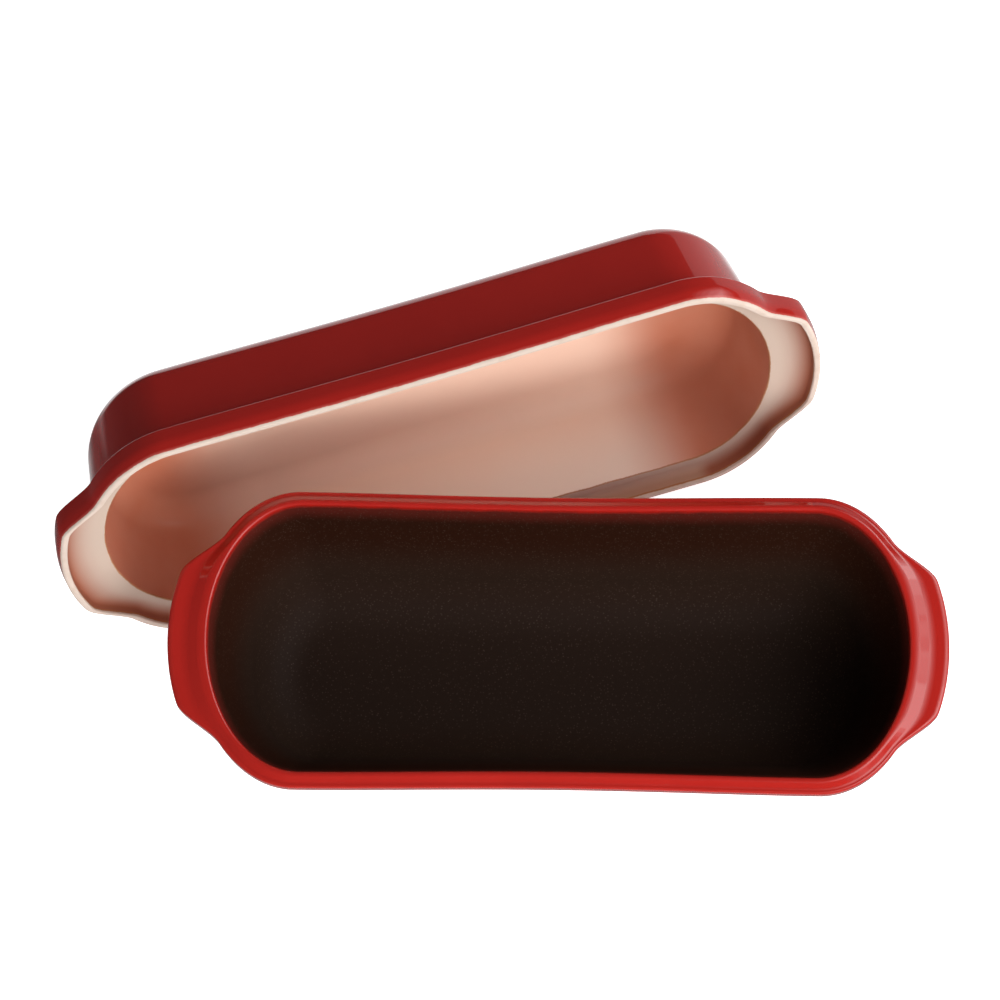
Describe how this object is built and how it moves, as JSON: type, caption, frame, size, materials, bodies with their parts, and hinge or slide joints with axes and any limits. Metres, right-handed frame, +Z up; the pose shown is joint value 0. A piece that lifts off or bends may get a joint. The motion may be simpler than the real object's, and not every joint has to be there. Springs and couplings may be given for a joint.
{
  "type": "bread loaf baker",
  "caption": "Long glazed ceramic loaf dish with round ends and handle lobes, and a deep skirted lid that lies on its side behind it.",
  "frame": {"origin": "middle of the dish's flat foot, on the surface that it stands on", "axes": "+Z up, +X along the dish, +Y to the back, where the lid lies"},
  "size_m": [0.4429, 0.2825, 0.1556],
  "materials": {
    "dish_glaze": "glossy red glaze, dark matte charcoal inside",
    "lid_glaze": "glossy red glaze outside, satin cream inside, bare cream rim edge"
  },
  "bodies": {
    "dish": {"baking_dish": "dish_glaze"},
    "lid": {"lid": "lid_glaze"}
  },
  "joints": [
    {"name": "lid_lift", "type": "slide", "parent": "dish", "child": "lid", "axis": [-0.2463, 0.7812, 0.5736], "range_m": [0, 0.2]}
  ]
}
